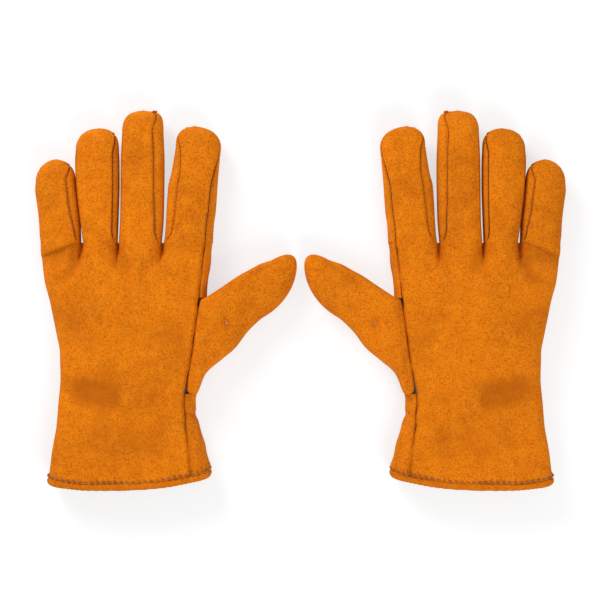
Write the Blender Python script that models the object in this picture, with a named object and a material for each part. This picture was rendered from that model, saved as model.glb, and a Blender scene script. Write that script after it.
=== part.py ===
"""A pair of short welding gloves in split leather with a soft lining, lying palm down.

Frame: +X runs from the left glove to the right one, +Y to the fingertips and +Z up from the palm.
The origin is midway between the gloves, at the middle of their length, on the surface they lie on.

Each glove is a family of flat tubes: hand, four fingers and a thumb. A tube is a row of stations from
its mouth to its tip, and each station is a rounded slab between a point on its little-finger side and
a point on its thumb side. Every leather panel and every lining is a flat slab of material laid between
two depths under that outer form, so pieces that meet share the same stations and can't cross.
"""

import math

import bmesh
import bpy
from mathutils import Matrix, Vector

MM = 0.001

# Materials and sewing
LEATHER = 1.4 * MM  # split cowhide
LINING = 1.5 * MM  # cotton fleece in the hand, canvas in the cuff
LINING_GAP = 0.6 * MM  # between leather and lining
SEAM_GAP = 0.3 * MM  # between two panels sewn together
WEB_GAP = 1.6 * MM  # between the roots of two fingers
EDGE_RADIUS = 8.0 * MM  # rounding of every tube's long edges
THREAD_DIAMETER = 0.9 * MM

# Where the gloves lie
PAIR_GAP = 5.2 * MM  # between the two thumb tips

# Hand and cuff: distance below the knuckle line, then how far the little-finger edge and the
# thumb edge lie inside the ends of the knuckle line, and half the height there
HAND_STATIONS = [
    (0.0 * MM, 0.0 * MM, 0.0 * MM, 11.5 * MM),
    (22.0 * MM, 2.5 * MM, 3.1 * MM, 12.5 * MM),
    (41.5 * MM, 7.2 * MM, 5.0 * MM, 13.2 * MM),
    (68.0 * MM, 12.0 * MM, 7.9 * MM, 13.2 * MM),
    (93.0 * MM, 14.7 * MM, 10.7 * MM, 13.0 * MM),
    (114.0 * MM, 13.9 * MM, 13.0 * MM, 12.6 * MM),
]
CUFF_STATIONS = [
    (114.0 * MM, 13.9 * MM, 13.0 * MM, 12.6 * MM),
    (138.0 * MM, 11.6 * MM, 10.0 * MM, 12.0 * MM),
    (158.0 * MM, 8.4 * MM, 5.8 * MM, 12.5 * MM),
    (173.9 * MM, 5.2 * MM, 1.8 * MM, 13.0 * MM),
]
HEM_WIDTH = 4.6 * MM  # the folded edge strip round the cuff's mouth
HEM_BOW = 7.4 * MM  # how far the hem's middle hangs below its ends
HEM_RISE = 6.0 * MM  # how much higher the hem ends on the thumb side
THREAD_GROOVE = THREAD_DIAMETER + 2 * SEAM_GAP

# The back panel's seam on the thumb side, measured in from the edge of the hand
HAND_SEAM_INSET = 9.0 * MM
LOWER_SEAM_INSET = 2.3 * MM  # every seam on the palm side

# Fingers: root width, width at the belly, sideways lean of the belly and of the tip, length from the
# knuckle line, half height, and how far the back's seam lies in from the little-finger side and from
# the thumb side; None where back and front are sewn straight together with no strip between them
FINGERS = {
    "little": (30.4 * MM, 29.6 * MM, -4.2 * MM, -3.6 * MM, 61.0 * MM, 10.8 * MM, None, 6.5 * MM),
    "ring": (25.0 * MM, 31.2 * MM, -2.2 * MM, -1.6 * MM, 85.3 * MM, 11.2 * MM, 1.5 * MM, 4.0 * MM),
    "middle": (32.2 * MM, 32.4 * MM, 1.6 * MM, 1.8 * MM, 98.5 * MM, 11.5 * MM, 1.5 * MM, 7.0 * MM),
    "index": (36.3 * MM, 34.0 * MM, 6.0 * MM, 9.6 * MM, 86.8 * MM, 11.5 * MM, 6.5 * MM, 5.0 * MM),
}
BELLY_SHARE = 0.60  # where along a finger its belly is
TIP_LENGTH = 14.0 * MM  # the rounded end of a finger
TIP_NARROWING = 0.96  # width where the rounded end starts, as a share of the belly's
PLAN_ROUNDNESS = 2.6  # exponent of a fingertip's outline from above, 2 being an ellipse

# Thumb: each station's little-finger-side and thumb-side point, as (distance towards the thumb from
# the knuckle line's little-finger end, distance below the knuckle line), and half the height there.
# The first station is the thumb's seam line on the hand.
THUMB_HALF_HEIGHTS = (12.9 * MM, 12.0 * MM, 11.2 * MM, 10.5 * MM)
THUMB_UPPER = [(138.5 * MM, 31.0 * MM), (153.5 * MM, 22.0 * MM), (168.5 * MM, 14.4 * MM)]
THUMB_LOWER = [(142.5 * MM, 81.5 * MM), (161.5 * MM, 58.5 * MM), (182.5 * MM, 43.0 * MM)]
THUMB_TIP = (191.9 * MM, 21.0 * MM)
THUMB_TOP_STATION, THUMB_END_STATION = 2, 5  # hand stations where the thumb's seam starts and ends
THUMB_END_CLEARANCE = 1.3 * MM  # at both ends of the thumb's mouth
CUTTER_REACH = 40.0 * MM  # the thumb hole's cutter goes this far up and outwards
CUTTER_PAST = 5.0 * MM  # and this far under the palm and past the wrist end

# Roundness of the rounded ends: shares of the end's length at which it has a station
TIP_SHARES = (0.55, 0.88, 1.0)
MID, STRAIGHT, ARC, TOP = 0.0, 1.0, 2.0, 3.0  # levels on a section: see Tube.point
LINING_DEPTH = LEATHER + LINING_GAP
WALL = LINING_DEPTH + LINING

COLOURS = {  # base colour, roughness
    "leather": ((0.62, 0.19, 0.012, 1.0), 0.9),
    "fleece": ((0.80, 0.77, 0.68, 1.0), 0.95),
    "canvas": ((0.70, 0.66, 0.55, 1.0), 0.9),
    "thread": ((0.55, 0.17, 0.02, 1.0), 0.7),
}


def clear_scene():
    for obj in list(bpy.data.objects):
        bpy.data.objects.remove(obj)


def material(name):
    found = bpy.data.materials.get(name)
    if found:
        return found
    made = bpy.data.materials.new(name)
    made.use_nodes = True
    shader = made.node_tree.nodes["Principled BSDF"]
    colour, roughness = COLOURS[name]
    shader.inputs["Base Color"].default_value = colour
    shader.inputs["Roughness"].default_value = roughness
    shader.inputs["Metallic"].default_value = 0.0
    return made


class Station:
    """One cross section of a tube: a rounded slab that stands on the ground between two points."""

    def __init__(self, little_side, thumb_side, half_height, bow=0.0):
        self.little_side = Vector(little_side)
        self.thumb_side = Vector(thumb_side)
        self.half_height = half_height
        self.bow = bow
        self.slope = 0.0  # lean of the section towards the hand, per unit of height
        self.scale = 1.0  # below 1 only in a rounded end
        self.flatten = 1.0
        self.advance = Vector((0.0, 0.0))  # direction of the rounded end at this station

    @property
    def half_width(self):
        return (self.thumb_side - self.little_side).length / 2


class Tube:
    """Stations from mouth to tip. point() gives any place on its skin or at a depth under it."""

    def __init__(self, stations, tip=None):
        self.stations = list(stations)
        self.closed = tip is not None
        if self.closed:
            last = self.stations[-1]
            self.end_centre = (last.little_side + last.thumb_side) / 2
            self.end_axis = Vector(tip) - self.end_centre
            for share in TIP_SHARES:
                station = Station(last.little_side, last.thumb_side, last.half_height)
                station.scale = (1 - share**PLAN_ROUNDNESS) ** (1 / PLAN_ROUNDNESS)
                station.flatten = math.sqrt(1 - share * share)
                station.advance = self.end_axis * share
                self.stations.append(station)

    def point(self, row, side, level, depth):
        """A point of the section at station row, depth under the skin.

        side is -1 on the little-finger side and 1 on the thumb side. level goes from MID, halfway up
        the edge, through STRAIGHT, where the rounding starts, and ARC, where the flat top starts, to
        TOP, the middle of the top. Below MID the levels are negative.
        """
        station = self.stations[row]
        height = abs(level)
        half, tall = station.half_width - depth, station.half_height - depth
        radius = EDGE_RADIUS - depth
        if height <= STRAIGHT:
            out, up = half, height * (tall - radius)
        elif height <= ARC:
            angle = (height - STRAIGHT) * math.pi / 2
            out = half - radius + radius * math.cos(angle)
            up = tall - radius + radius * math.sin(angle)
        else:
            out, up = (half - radius) * (TOP - height), tall
        up *= station.flatten
        if station.flatten < 1 and depth <= LEATHER:
            up = max(up, SEAM_GAP / 2)
        out *= station.scale * side
        up *= math.copysign(1.0, level)
        across = (station.thumb_side - station.little_side).normalized()
        middle = (station.little_side + station.thumb_side) / 2
        share = out / station.half_width
        plan = middle + across * out
        if self.closed and station.advance.length:
            shorter = 1 - depth / self.end_axis.length
            plan += station.advance * shorter
        plan.y -= station.bow * math.cos(share * math.pi / 2)
        rise = station.half_height + up
        along = Vector((-across.y, across.x))
        plan -= along * station.slope * rise
        return Vector((plan.x, plan.y, rise))


def level_at(inset):
    """The level on the rounded edge at this distance in from the tube's side, seen from above."""
    angle = math.acos(1 - min(inset, EDGE_RADIUS) / EDGE_RADIUS)
    return STRAIGHT + angle / (math.pi / 2)


def seam_half_gap(level):
    """Half a seam's gap, in levels, at a level on the rounding or on the straight of an edge."""
    if level > STRAIGHT:
        return SEAM_GAP / 2 / (EDGE_RADIUS * math.pi / 2)
    return SEAM_GAP / 2 / (3 * MM)


class Edges:
    """The seam levels of a tube on both of its sides, at any of its stations."""

    def __init__(self, tube, upper, last_strip_row=None):
        self.tube = tube
        self.fine = last_strip_row is None  # wide tubes have more columns
        self.upper = upper  # inset of the back's seam for side -1 and side 1, or None
        self.last_strip_row = last_strip_row  # a strip narrows to nothing here

    def narrowing(self, row):
        if self.last_strip_row is None or row < self.last_strip_row - 1:
            return 1.0
        return 0.5 if row < self.last_strip_row else 0.0

    def seam(self, row, side, upwards):
        """The level of the seam on the back (upwards 1) or on the front (upwards -1)."""
        inset = self.upper[side]
        if inset is None:
            return MID
        level = level_at(inset if upwards > 0 else LOWER_SEAM_INSET)
        if upwards > 0 and inset > EDGE_RADIUS:
            flat = self.tube.stations[row].half_width - EDGE_RADIUS
            level = ARC + (inset - EDGE_RADIUS) / flat
        return level * self.narrowing(row)

    def panel(self, upwards):
        """Columns of the back or front: seam, rounding, flat, middle, and the same again."""
        columns = []
        for side, order in ((-1, 1), (1, -1)):
            stops = [
                lambda row, side=side: self.shifted(row, side, upwards),
                lambda row, side=side: self.rounding(row, side, upwards),
                lambda row, side=side: self.flat(row, side, upwards),
            ]
            if self.fine:
                stops.append(lambda row, side=side: self.halfway(row, side, upwards))
            columns.append(stops[::order])
        middle = [lambda row: (1, TOP * upwards)]
        return columns[0] + middle + columns[1]

    def shifted(self, row, side, upwards):
        level = self.seam(row, side, upwards)
        return side, (level + seam_half_gap(level)) * upwards

    def rounding(self, row, side, upwards):
        edge = self.shifted(row, side, upwards)[1] * upwards
        return side, (edge + max(edge, ARC)) / 2 * upwards

    def flat(self, row, side, upwards):
        edge = self.shifted(row, side, upwards)[1] * upwards
        past = 0.25 * max(0.0, TOP - edge) if edge >= ARC else 0.0
        return side, max(ARC, edge + past) * upwards

    def front(self):
        """Columns of the front, in the order in which a lining goes round."""
        return self.panel(-1)[::-1]

    def halfway(self, row, side, upwards):
        level = self.flat(row, side, upwards)[1] * upwards
        return side, (level + TOP) / 2 * upwards

    def strip(self, side):
        """Columns of the strip between back and front: down on the thumb side, up on the other."""

        def at(share, upwards):
            def column(row):
                level = self.seam(row, side, upwards)
                level = max(level - seam_half_gap(level), 0.0)
                return side, level * share * upwards

            return column

        return [at(1.0, 1), at(0.62, 1), at(0.4, -1), at(1.0, -1)][::side]

    def ring(self):
        """Columns all the way round, for a lining: the back's, a strip's, the front's, a strip's."""
        back, front = self.panel(1), self.front()
        thumb_side = self.strip(1)[1:3] if self.upper[1] is not None else []
        little_side = self.strip(-1)[1:3] if self.upper[-1] is not None else []
        if self.upper[1] is None:
            front = front[1:]
        if self.upper[-1] is None:
            front = front[:-1]
        return back + thumb_side + front + little_side


class Glove:
    """One glove's outer form, in its own frame: x towards the thumb, y towards the fingertips."""

    def __init__(self):
        self.knuckle_width = sum(f[0] for f in FINGERS.values()) + WEB_GAP * (len(FINGERS) - 1)
        hand = [self.across(*row) for row in HAND_STATIONS]
        cuff = [self.across(*row) for row in CUFF_STATIONS]
        for i, station in enumerate(cuff):
            share = (i / (len(cuff) - 1)) ** 2
            station.bow = HEM_BOW * share
            station.thumb_side.y += HEM_RISE * share
        self.hand, self.cuff = Tube(hand), Tube(cuff)
        self.hem = Tube(self.hem_stations(cuff))
        self.fingers = {name: Tube(*self.finger(name)) for name in FINGERS}
        self.reach = -min(self.hem.point(1, *column(1), 0.0).y for column in self.hem_edges().ring())
        self.seam_line = self.thumb_seam_line()
        self.thumb = Tube(self.thumb_stations(), self.below(THUMB_TIP))

    def below(self, place):
        return Vector((place[0], -place[1]))

    def across(self, down, little_inset, thumb_inset, half_height):
        return Station(
            (little_inset, -down), (self.knuckle_width - thumb_inset, -down), half_height
        )

    def hem_stations(self, cuff):
        """The hem's near and far edges, carried on from the cuff's last two stations."""
        start = self.past(cuff, THREAD_GROOVE)
        end = self.past(cuff, THREAD_GROOVE + HEM_WIDTH)
        return [start, end]

    def hem_edges(self):
        return Edges(self.hem, {-1: None, 1: HAND_SEAM_INSET})

    def past(self, stations, distance):
        """A station this far past the last one, along the line of its edges."""
        before, last = stations[-2], stations[-1]
        ends = []
        for a, b in (
            (before.little_side, last.little_side),
            (before.thumb_side, last.thumb_side),
        ):
            ends.append(b + (b - a).normalized() * distance)
        return Station(ends[0], ends[1], last.half_height, last.bow)

    def root(self, name):
        """The little-finger-side end of a finger's root, on the knuckle line."""
        start = 0.0
        for other, sizes in FINGERS.items():
            if other == name:
                return start
            start += sizes[0] + WEB_GAP
        return start

    def finger(self, name):
        """A finger's stations up to its rounded end, and its tip."""
        root_width, belly_width, belly_lean, tip_lean, length, half_height = FINGERS[name][:6]
        centre = self.root(name) + root_width / 2
        hand_half_height = HAND_STATIONS[0][3]
        belly = length * BELLY_SHARE
        end = length - TIP_LENGTH
        end_share = (end - belly) / (length - belly)
        places = [
            (0.0, centre, root_width, hand_half_height),
            (belly / 2, centre + belly_lean / 2, (root_width + belly_width) / 2, half_height),
            (belly, centre + belly_lean, belly_width, half_height),
            (
                end,
                centre + belly_lean + (tip_lean - belly_lean) * end_share,
                belly_width * TIP_NARROWING,
                half_height * TIP_NARROWING,
            ),
        ]
        stations = [
            Station((x - width / 2, y), (x + width / 2, y), tall) for y, x, width, tall in places
        ]
        for edge in (stations[0].little_side, stations[0].thumb_side):
            edge.y += SEAM_GAP
        return stations, (centre + tip_lean, length)

    def thumb_seam_line(self):
        """The two ends, on the ground, of the line where the thumb is sewn on and folds."""
        top = self.hand.stations[THUMB_TOP_STATION].thumb_side.copy()
        end = self.hand.stations[THUMB_END_STATION].thumb_side.copy()
        return top, end

    def palm_seam_height(self):
        """Height of the seam along the palm's thumb side, where the palm's edge starts to round up."""
        return EDGE_RADIUS - math.sqrt(EDGE_RADIUS**2 - (EDGE_RADIUS - LOWER_SEAM_INSET) ** 2)

    def thumb_mouth_slope(self):
        """Lean of the thumb's mouth over the hand, from the palm's seam up to the back's seam."""
        back_height = 2 * HAND_STATIONS[THUMB_TOP_STATION][3]
        return (HAND_SEAM_INSET - LOWER_SEAM_INSET) / (back_height - self.palm_seam_height())

    def thumb_mouth_offset(self):
        """Where the thumb's mouth meets the ground, outwards from the edge of the hand."""
        lean = self.thumb_mouth_slope() * self.palm_seam_height()
        return 2 * SEAM_GAP - LOWER_SEAM_INSET + lean

    def thumb_hinge_point(self):
        """The finger-side end of the line, on the ground, about which the thumb folds."""
        top, end = self.seam_line
        run = (end - top).normalized()
        return top + Vector((-run.y, run.x)) * self.thumb_mouth_offset()

    def hand_middle(self):
        """The middle of the knuckle line."""
        return Vector((self.knuckle_width / 2, 0.0))

    def thumb_stations(self):
        top, end = self.seam_line
        run = (end - top).normalized()
        outwards = Vector((-run.y, run.x))
        stations = []
        for out in (self.thumb_mouth_offset(), 2 * SEAM_GAP):
            first = top + run * THUMB_END_CLEARANCE + outwards * out
            last = end - run * THUMB_END_CLEARANCE + outwards * out
            stations.append(Station(first, last, THUMB_HALF_HEIGHTS[0]))
        stations[0].slope = self.thumb_mouth_slope()
        for upper, lower, tall in zip(THUMB_UPPER, THUMB_LOWER, THUMB_HALF_HEIGHTS[1:]):
            stations.append(Station(self.below(upper), self.below(lower), tall))
        return stations


def collection(name):
    found = bpy.data.collections.get(name)
    if not found:
        found = bpy.data.collections.new(name)
        bpy.context.scene.collection.children.link(found)
    return found


def facing_out(shape):
    bmesh.ops.recalc_face_normals(shape, faces=shape.faces[:])
    if shape.calc_volume(signed=True) < 0:
        bmesh.ops.reverse_faces(shape, faces=shape.faces[:])


def flat_slab(rows, columns, closed_round):
    """A flat pattern of unit squares with two layers, which a vertex's "layer" value tells apart."""
    pattern = bmesh.new()
    layer = pattern.verts.layers.int.new("layer")
    bmesh.ops.create_grid(pattern, x_segments=columns, y_segments=rows, size=0.5)
    for vert in pattern.verts:
        vert.co.x = round((vert.co.x + 0.5) * columns)
        vert.co.y = round((vert.co.y + 0.5) * rows)
    if closed_round:
        first = {vert.co.y: vert for vert in pattern.verts if vert.co.x == 0}
        last = [vert for vert in pattern.verts if vert.co.x == columns]
        bmesh.ops.weld_verts(pattern, targetmap={vert: first[vert.co.y] for vert in last})
    bmesh.ops.triangulate(pattern, faces=pattern.faces[:], quad_method="FIXED")
    made = bmesh.ops.extrude_face_region(pattern, geom=pattern.faces[:])
    for item in made["geom"]:
        if isinstance(item, bmesh.types.BMVert):
            item[layer] = 1
    for wall in [face for face in pattern.faces if len(face.verts) == 4]:
        order = sorted(wall.verts, key=lambda vert: (vert.co.y, vert.co.x, vert[layer]))
        bmesh.utils.face_split(wall, order[0], order[3])
    return pattern, layer


class Body:
    """The pieces of one glove that move together, all under the empty on their joint's axis."""

    def __init__(self, prefix, side, glove, joint, place):
        self.prefix = prefix
        self.side = side  # -1 for the left glove and 1 for the right one
        self.glove = glove
        self.pivot = bpy.data.objects.new(f"{prefix}_{joint}", None)
        self.pivot.empty_display_size = 10 * MM
        self.pivot.location = self.in_place(Vector((place.x, place.y, 0.0)))
        collection("welding_gloves").objects.link(self.pivot)

    def in_place(self, point):
        """A point of the glove's own frame in the pair's frame."""
        knuckle_line = (self.glove.reach - FINGERS["middle"][4]) / 2
        inwards = THUMB_TIP[0] + PAIR_GAP / 2 - point.x
        return Vector((self.side * inwards, knuckle_line + point.y, point.z))

    def add(self, name, data, slot):
        """A piece with this mesh or curve, made where it lies, under the joint's empty."""
        data.materials.append(material(slot))
        piece = bpy.data.objects.new(f"{self.prefix}_{name}", data)
        piece.parent = self.pivot
        piece.matrix_parent_inverse = Matrix.Translation(-self.pivot.location)
        collection("welding_gloves").objects.link(piece)
        return piece

    def sheet(self, name, tube, rows, columns, depths, slot, closed_round=False):
        """A piece of sheet material bent round a tube between two depths.

        rows are station numbers, and columns are functions of the row that give (side, level).
        """
        around = len(columns) if closed_round else len(columns) - 1
        pattern, layer = flat_slab(len(rows) - 1, around, closed_round)
        for vert in pattern.verts:
            row = rows[round(vert.co.y)]
            edge, level = columns[round(vert.co.x)](row)
            vert.co = self.in_place(tube.point(row, edge, level, depths[vert[layer]]))
        bmesh.ops.remove_doubles(pattern, verts=pattern.verts[:], dist=0.02 * MM)
        facing_out(pattern)
        mesh = bpy.data.meshes.new(f"{self.prefix}_{name}")
        pattern.to_mesh(mesh)
        pattern.free()
        mesh.shade_smooth()
        mesh.set_sharp_from_angle(angle=math.radians(40))
        return self.add(name, mesh, slot)

    def leather(self, name, tube, rows, columns):
        return self.sheet(name, tube, rows, columns, (0.0, LEATHER), "leather")

    def lining(self, name, tube, rows, edges, slot="fleece"):
        depths = (LINING_DEPTH, WALL)
        return self.sheet(name, tube, rows, edges.ring(), depths, slot, closed_round=True)


def make_finger(prefix, name, side, glove):
    tube = glove.fingers[name]
    little_inset, thumb_inset = FINGERS[name][6:]
    edges = Edges(tube, {-1: little_inset, 1: thumb_inset}, last_strip_row=3)
    root = tube.stations[0]
    middle = (root.little_side + root.thumb_side) / 2
    body = Body(prefix, side, glove, f"{name}_knuckle", middle)
    rows = list(range(len(tube.stations)))
    body.leather(f"{name}_back", tube, rows, edges.panel(1))
    body.leather(f"{name}_front", tube, rows, edges.front())
    if little_inset is not None:
        body.leather(f"{name}_little_side_strip", tube, rows[:4], edges.strip(-1))
    body.leather(f"{name}_thumb_side_strip", tube, rows[:4], edges.strip(1))
    body.lining(f"{name}_lining", tube, rows, edges)


def make_thumb(prefix, side, glove):
    tube = glove.thumb
    edges = Edges(tube, {-1: None, 1: None})
    body = Body(prefix, side, glove, "thumb_seam", glove.thumb_hinge_point())
    rows = list(range(len(tube.stations)))
    body.leather("thumb_back", tube, rows, edges.panel(1))
    body.leather("thumb_front", tube, rows, edges.front())
    body.lining("thumb_lining", tube, rows, edges)


def make_hand(prefix, side, glove):
    tube = Tube(glove.hand.stations + glove.cuff.stations[1:])
    edges = Edges(tube, {-1: None, 1: HAND_SEAM_INSET})
    body = Body(prefix, side, glove, "hand_origin", glove.hand_middle())
    rows = list(range(len(tube.stations)))
    body.leather("hand_back", tube, rows, edges.panel(1))
    body.leather("palm", tube, rows, edges.front())
    body.leather("hand_side_strip", tube, rows[: THUMB_TOP_STATION + 1], edges.strip(1))
    body.leather("cuff_gusset", tube, rows[THUMB_END_STATION:], edges.strip(1))
    cuff_start = len(glove.hand.stations) - 1
    lining = body.lining("hand_lining", tube, rows[: cuff_start + 1], edges)
    cut_thumb_hole(lining, body)
    below = started_later(tube, cuff_start, SEAM_GAP)
    cuff_edges = Edges(below, edges.upper)
    body.lining("cuff_lining", below, rows[cuff_start:], cuff_edges, "canvas")
    hem_edges = glove.hem_edges()
    depths = (0.0, WALL)
    body.sheet("cuff_hem", glove.hem, [0, 1], hem_edges.ring(), depths, "leather", True)
    make_thread(body, hem_edges)


def started_later(tube, row, distance):
    """The same tube with one station moved on by a distance, where another piece ends before it."""
    moved = Tube(tube.stations)
    old = tube.stations[row]
    step = Vector((0.0, -distance))
    moved.stations[row] = Station(old.little_side + step, old.thumb_side + step, old.half_height)
    return moved


def make_thread(body, edges):
    """The thread that sews the hem on lies in the groove between hem and cuff."""
    groove = Tube([body.glove.past(body.glove.cuff.stations, THREAD_GROOVE / 2)])
    curve = bpy.data.curves.new(f"{body.prefix}_hem_thread", "CURVE")
    curve.dimensions = "3D"
    curve.bevel_depth = THREAD_DIAMETER / 2
    curve.bevel_resolution = 1
    spline = curve.splines.new("POLY")
    columns = edges.ring()
    spline.points.add(len(columns) - 1)
    for target, column in zip(spline.points, columns):
        place = body.in_place(groove.point(0, *column(0), LEATHER / 2))
        target.co = (*place, 1.0)
    spline.use_cyclic_u = True
    body.add("hem_thread", curve, "thread")


def cut_thumb_hole(lining, body):
    """Opens the hand's lining where the thumb's mouth meets it."""
    top, end = body.glove.seam_line
    run = (end - top).normalized()
    outwards = Vector((-run.y, run.x))
    slope = body.glove.thumb_mouth_slope()
    offset = body.glove.thumb_mouth_offset() - SEAM_GAP
    shape = bmesh.new()
    bmesh.ops.create_cube(shape, size=1.0)
    for vert in shape.verts:
        along, out, up = (0.5 + value for value in vert.co)
        high = up * (CUTTER_REACH + CUTTER_PAST) - CUTTER_PAST
        place = top.lerp(end, along) + run * CUTTER_PAST * along
        place = place + outwards * (CUTTER_REACH * out + offset - slope * high)
        vert.co = body.in_place(Vector((place.x, place.y, high)))
    facing_out(shape)
    mesh = bpy.data.meshes.new("thumb_hole_cutter")
    shape.to_mesh(mesh)
    shape.free()
    cutter = bpy.data.objects.new(f"{lining.name}_cutter", mesh)
    collection("cutters").objects.link(cutter)
    cutter.hide_render = True
    cutter.display_type = "WIRE"
    cut = lining.modifiers.new("thumb_hole", "BOOLEAN")
    cut.operation = "DIFFERENCE"
    cut.solver = "EXACT"
    cut.object = cutter


def main():
    clear_scene()
    glove = Glove()
    for prefix, side in (("left", -1), ("right", 1)):
        make_hand(prefix, side, glove)
        make_thumb(prefix, side, glove)
        for name in FINGERS:
            make_finger(prefix, name, side, glove)


main()
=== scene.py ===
"""A pair of short split-leather welding gloves, palm down, with the backs of the hands up."""

import math

import bpy
import numpy as np
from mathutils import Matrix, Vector, noise


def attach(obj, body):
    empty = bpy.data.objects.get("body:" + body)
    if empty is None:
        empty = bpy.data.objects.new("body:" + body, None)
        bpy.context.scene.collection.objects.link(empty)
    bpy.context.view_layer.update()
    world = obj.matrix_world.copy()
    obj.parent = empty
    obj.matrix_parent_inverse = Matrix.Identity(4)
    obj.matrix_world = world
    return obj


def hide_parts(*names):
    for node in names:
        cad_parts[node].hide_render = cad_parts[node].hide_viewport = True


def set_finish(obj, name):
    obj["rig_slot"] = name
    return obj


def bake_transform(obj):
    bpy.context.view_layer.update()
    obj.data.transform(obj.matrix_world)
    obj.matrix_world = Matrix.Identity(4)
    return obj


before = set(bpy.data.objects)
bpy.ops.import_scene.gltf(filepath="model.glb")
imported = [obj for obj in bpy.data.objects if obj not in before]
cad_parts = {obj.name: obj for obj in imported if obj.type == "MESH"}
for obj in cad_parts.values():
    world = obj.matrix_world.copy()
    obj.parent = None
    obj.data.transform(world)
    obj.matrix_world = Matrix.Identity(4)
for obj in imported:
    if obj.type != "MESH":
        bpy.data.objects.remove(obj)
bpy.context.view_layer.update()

# All sizes in millimetres, in one glove's own frame: x from the little-finger side towards the thumb,
# d from the knuckle line towards the fingertips, z up from the palm.
KNUCKLE_Y = 42.85  # where the knuckle line lies in the pair's frame
GLOVE_X = 194.5  # from the middle of the pair to the little-finger end of the knuckle line
FINE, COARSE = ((1.15, 2.2))
LEATHER = 1.3
SIDES = {"left": -1, "right": 1}
TAU = 2 * math.pi


# ---------------------------------------------------------------- curves and surfaces
def smooth(edge0, edge1, value):
    t = np.clip((np.asarray(value, float) - edge0) / (edge1 - edge0), 0, 1)
    return t * t * (3 - 2 * t)


def curve(points, at):
    """A smooth line through (position, value) points, read at any position."""
    p = np.array(points, float)
    x, y = p[:, 0], p[:, 1]
    step = np.diff(y) / np.diff(x)
    slope = np.zeros(len(x))
    slope[0], slope[-1] = step[0], step[-1]
    same = step[1:] * step[:-1] > 0
    both = np.where(same, step[1:] + step[:-1], 1.0)
    slope[1:-1] = np.where(same, 2 * step[1:] * step[:-1] / both, 0.0)
    at = np.clip(np.asarray(at, float), x[0], x[-1])
    i = np.clip(np.searchsorted(x, at, side="right") - 1, 0, len(x) - 2)
    h = x[i + 1] - x[i]
    t = (at - x[i]) / h
    a, b = (1 + 2 * t) * (1 - t) ** 2, t * (1 - t) ** 2
    c, e = t * t * (3 - 2 * t), t * t * (t - 1)
    return a * y[i] + b * h * slope[i] + c * y[i + 1] + e * h * slope[i + 1]


def noise_at(points, size, seed=0.0):
    """Smooth noise from -1 to 1 at each point, with lumps of this size."""
    flat = np.asarray(points, float).reshape(-1, 3) / size + seed
    made = np.array([noise.noise(Vector(p)) for p in flat])
    return np.clip(1.6 * made, -1, 1).reshape(np.asarray(points).shape[:-1])


def along_line(x, d, ends):
    """Distance from a line of points, and how far along it, from 0 to 1."""
    best = np.full(np.shape(x), 1e9)
    where = np.zeros(np.shape(x))
    spans = [math.dist(a, b) for a, b in zip(ends, ends[1:])]
    total, done = sum(spans), 0.0
    for (x0, d0), (x1, d1), span in zip(ends, ends[1:], spans):
        t = np.clip(((x - x0) * (x1 - x0) + (d - d0) * (d1 - d0)) / span**2, 0, 1)
        gap = np.hypot(x - x0 - t * (x1 - x0), d - d0 - t * (d1 - d0))
        near = gap < best
        best = np.where(near, gap, best)
        where = np.where(near, (done + t * span) / total, where)
        done += span
    return best, where


# ---------------------------------------------------------------- the outline of one glove
HAND_LITTLE = [
    (-190, 1.5), (-179.5, 4.7), (-173, 6.5), (-155, 8.9), (-137, 11.9), (-119, 13.5), (-101, 14.9),
    (-83, 14.7), (-70, 12.5), (-56, 9.5), (-43, 7.0), (-30, 3.6), (-16, 1.5), (-3, 0.0), (0, -0.1),
]
HAND_THUMB = [
    (-190, 129.5), (-174, 126.6), (-169, 125.1), (-155, 122.1), (-142, 119.1), (-128, 116.2),
    (-119, 115.6), (-110, 116.8), (-80, 119.6), (-60, 121.6), (-41.5, 123.8), (-21, 126.0), (0, 128.8),
]
HAND_HALF = [
    (-190, 13.2), (-174, 13.0), (-150, 12.2), (-114, 12.4), (-90, 13.0), (-55, 13.3), (-25, 12.7),
    (0, 11.6),
]
# How far the back's seam on the thumb side lies in from the edge
HAND_SEAM = [
    (-190, 15.0), (-174, 13.5), (-144, 9.9), (-125, 8.2), (-113, 8.2), (-100, 7.6), (-82, 5.6),
    (-55, 5.0), (-42, 5.0), (-20, 5.4), (0, 5.0),
]
HEM_LOW = [
    (2, -179.0), (15, -182.2), (37, -184.2), (65, -183.8), (90, -182.2), (117, -177.8), (129, -174.0),
]
HEM_WIDTH = 5.0
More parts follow.
